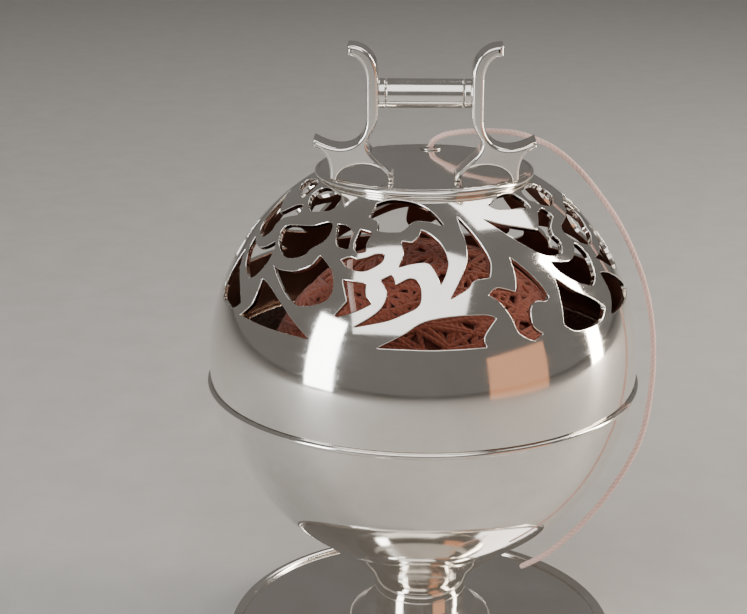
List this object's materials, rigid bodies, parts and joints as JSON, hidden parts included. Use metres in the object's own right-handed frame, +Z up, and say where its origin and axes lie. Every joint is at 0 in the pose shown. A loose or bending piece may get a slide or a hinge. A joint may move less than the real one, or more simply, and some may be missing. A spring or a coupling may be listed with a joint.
{
  "type": "string box",
  "caption": "Polished metal globe string box with a pierced scroll dome, lift-off lid, roller handle, spreading foot and a trailing end of string.",
  "frame": {"origin": "centre of the foot's underside, on the table under the globe's centre", "axes": "+Z up along the globe's axis; +X to the right and +Y to the rear, the handle standing nearer the front and the string's outlet at the rear"},
  "size_m": [0.1037, 0.1014, 0.1501],
  "materials": {
    "silver": "polished silver, slightly warm, with fine wear scratches",
    "worn_silver": "rubbed silver of the inner bezel, pin and bush",
    "filling": "dark resin loading",
    "baize": "green baize",
    "string": "matt twisted pink cotton string"
  },
  "bodies": {
    "base": {"foot": "silver", "foot_rim": "silver", "foot_filling": "filling", "base_disc": "baize", "foot_moulding": "silver", "neck_collar": "silver", "stem_skirt": "silver", "bowl": "silver", "bowl_rim": "silver", "bowl_bezel": "worn_silver"},
    "lid": {"lid_dome": "silver", "top_plate": "silver", "plate_rim": "silver", "outlet_bush": "worn_silver", "bracket_left": "silver", "bracket_right": "silver", "roller_pin": "worn_silver", "collar_left": "silver", "collar_right": "silver", "string_lead": "string", "string_tail": "string"},
    "roller": {"roller": "silver"},
    "ball": {"string_ball": "string"}
  },
  "joints": [
    {"name": "lid_lift", "type": "slide", "parent": "base", "child": "lid", "axis": [0, 0, 1], "range_m": [0, 0.08], "deforming": ["string_tail", "string_lead"]},
    {"name": "roller_spin", "type": "hinge", "parent": "lid", "child": "roller", "pos_m": [0, -0.0115, 0.1392], "axis": [1, 0, 0], "continuous": true},
    {"name": "ball_turn", "type": "hinge", "parent": "base", "child": "ball", "pos_m": [0, 0, 0.0646], "axis": [0, 0, 1], "continuous": true}
  ]
}
